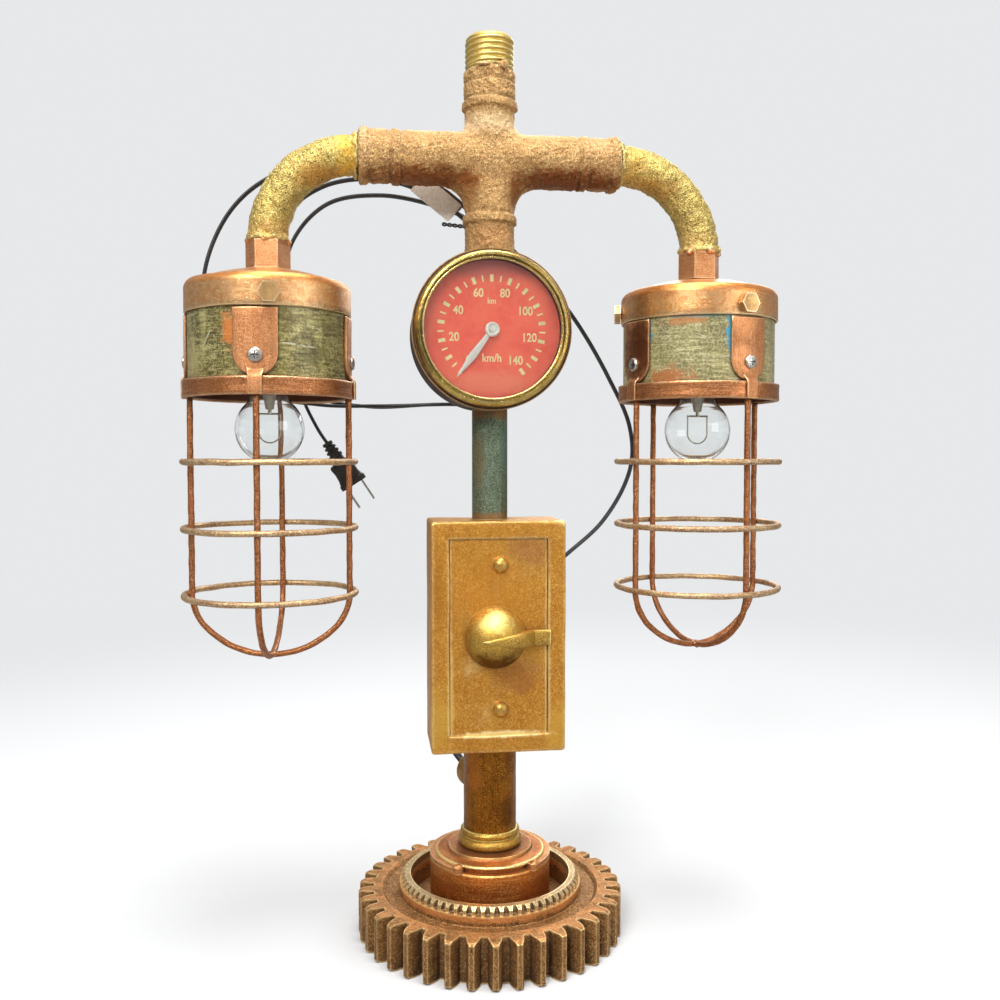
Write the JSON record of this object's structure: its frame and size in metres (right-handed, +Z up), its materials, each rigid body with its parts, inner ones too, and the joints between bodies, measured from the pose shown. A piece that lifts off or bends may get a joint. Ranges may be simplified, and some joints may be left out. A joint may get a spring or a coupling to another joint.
{
  "type": "pipe table lamp",
  "caption": "Table lamp of pipe fittings on a gear-wheel base, with a switch box and round gauge on the post and a caged lamp head on each arm.",
  "frame": {"origin": "on the table under the middle of the gear-wheel base", "axes": "+Z up the post, -Y to the front with the gauge and switch, X along the two arms"},
  "size_m": [0.4072, 0.1796, 0.602],
  "materials": {
    "gear_iron": "worn copper-bronze patina",
    "ring_brass": "pale, worn",
    "hub_bronze": "bronze patina",
    "snap_steel": "copper-toned",
    "foot_brass": "aged",
    "post_bronze": "bronze-gold patina, streaked",
    "zinc_steel": "zinc plated",
    "outlet_brass": "aged",
    "black_rubber": "satin",
    "box_paint": "sandy gold-brown, worn edges",
    "screw_brass": "aged",
    "switch_plastic": "matte",
    "knob_brass": "satin, worn",
    "riser_copper": "verdigris",
    "case_bronze": "dark bronze",
    "bezel_brass": "polished, worn",
    "clear_glass": "clear",
    "dial_enamel": "coral red with cream marks",
    "needle_white": "silver-white",
    "cross_casting": "rough sand-cast copper tone",
    "stub_brass": "bright",
    "elbow_casting": "rough yellow-gold patina",
    "nipple_copper": "copper tone",
    "cap_copper": "brushed copper tone, worn edges",
    "bolt_brass": "aged",
    "barrel_paint": "aged olive paint",
    "band_copper": "brushed copper tone",
    "tab_copper": "copper tone",
    "screw_nickel": "nickel plated, worn",
    "wire_copper": "copper tone with pale worn highlights",
    "ceramic": "glazed",
    "cap_brass": "bright",
    "filament_wire": "bare wire and glass stem",
    "cord_black": "satin",
    "tie_black": "matte",
    "tag_paper": "blank",
    "plug_plastic": "moulded",
    "blade_nickel": "nickel plated"
  },
  "bodies": {
    "frame": {"base_gear": "gear_iron", "tooth_ring": "ring_brass", "bearing_hub": "hub_bronze", "snap_ring": "snap_steel", "post_foot": "foot_brass", "lower_post": "post_bronze", "tie_rod": "zinc_steel", "base_nut": "zinc_steel", "cord_boss": "outlet_brass", "cord_bush": "black_rubber", "switch_box": "box_paint", "front_panel": "box_paint", "panel_screws": "screw_brass", "switch_body": "switch_plastic", "switch_nut": "zinc_steel", "box_locknuts": "zinc_steel", "riser_post": "riser_copper", "gauge_case": "case_bronze", "gauge_bezel": "bezel_brass", "gauge_spacer": "black_rubber", "gauge_glass": "clear_glass", "gauge_dial": "dial_enamel", "gauge_movement": "zinc_steel", "cross_fitting": "cross_casting", "top_stub": "stub_brass", "elbow_left": "elbow_casting", "elbow_right": "elbow_casting", "head_nipples": "nipple_copper", "cap_left": "cap_copper", "cap_right": "cap_copper", "cap_bolts": "bolt_brass", "barrel_left": "barrel_paint", "barrel_right": "barrel_paint", "cage_bands": "band_copper", "cage_tabs": "tab_copper", "tab_screws": "screw_nickel", "cage_hoops_left": "wire_copper", "cage_hoops_right": "wire_copper", "cage_rings": "wire_copper", "lamp_sockets": "ceramic", "socket_contacts": "cap_brass", "cord": "cord_black", "cord_tie": "tie_black", "cord_tag": "tag_paper", "plug_body": "plug_plastic", "plug_blades": "blade_nickel"},
    "knob": {"switch_spindle": "zinc_steel", "switch_knob": "knob_brass"},
    "needle": {"gauge_needle": "needle_white", "needle_spindle": "zinc_steel"},
    "bulb_travel_left": {"bulb_contact_left": "blade_nickel"},
    "bulb_left": {"bulb_cap_left": "cap_brass", "bulb_glass_left": "clear_glass", "filament_left": "filament_wire"},
    "bulb_travel_right": {"bulb_contact_right": "blade_nickel"},
    "bulb_right": {"bulb_cap_right": "cap_brass", "bulb_glass_right": "clear_glass", "filament_right": "filament_wire"}
  },
  "joints": [
    {"name": "switch_turn", "type": "hinge", "parent": "frame", "child": "knob", "pos_m": [0.0008, -0.03, 0.204], "axis": [0, -1, 0], "range_deg": [0, 90]},
    {"name": "needle_sweep", "type": "hinge", "parent": "frame", "child": "needle", "pos_m": [-0.0015, -0.024, 0.406], "axis": [0, 1, 0], "range_deg": [0, 284]},
    {"name": "bulb_drop_left", "type": "slide", "parent": "frame", "child": "bulb_travel_left", "axis": [0, 0, -1], "range_m": [0, 0.0254]},
    {"name": "bulb_screw_left", "type": "hinge", "parent": "bulb_travel_left", "child": "bulb_left", "pos_m": [-0.146, 0, 0.39], "axis": [0, 0, -1], "range_deg": [0, 2520]},
    {"name": "bulb_drop_right", "type": "slide", "parent": "frame", "child": "bulb_travel_right", "axis": [0, 0, -1], "range_m": [0, 0.0254]},
    {"name": "bulb_screw_right", "type": "hinge", "parent": "bulb_travel_right", "child": "bulb_right", "pos_m": [0.146, 0, 0.39], "axis": [0, 0, -1], "range_deg": [0, 2520]}
  ],
  "couplings": [
    {"joint": "bulb_screw_left", "follows": "bulb_drop_left", "rad_per_m": 1731.3},
    {"joint": "bulb_screw_right", "follows": "bulb_drop_right", "rad_per_m": 1731.3}
  ]
}
